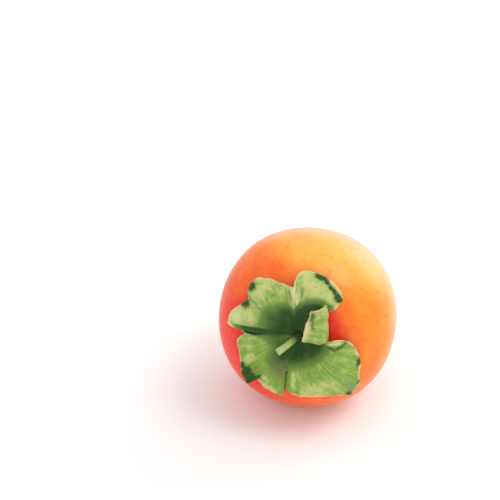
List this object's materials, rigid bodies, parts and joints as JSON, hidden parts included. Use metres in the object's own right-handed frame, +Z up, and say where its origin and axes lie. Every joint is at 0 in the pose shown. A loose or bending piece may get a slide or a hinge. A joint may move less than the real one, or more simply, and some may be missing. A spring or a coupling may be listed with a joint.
{
  "type": "persimmon",
  "caption": "Ripe smooth-skinned persimmon lying on its side, with a leafy lobed calyx round a cut stub of stem and a small dried point at the far end.",
  "frame": {"origin": "middle of the small flat spot on the belly that the fruit lies on", "axes": "+Z up out of the surface that the fruit lies on; -Y the way the calyx faces, with the fruit's own axis raised 16 degrees above -Y; +X to the right for someone who faces the calyx"},
  "size_m": [0.0752, 0.0825, 0.0754],
  "materials": {
    "skin": "smooth waxy fruit skin, orange with a red blush",
    "leaf": "matt veined leaf, pale green with dry brown margins",
    "stem": "matt green bark, brown at the cut"
  },
  "bodies": {
    "root": {"fruit": "skin", "calyx": "leaf", "stem": "stem"}
  },
  "joints": []
}
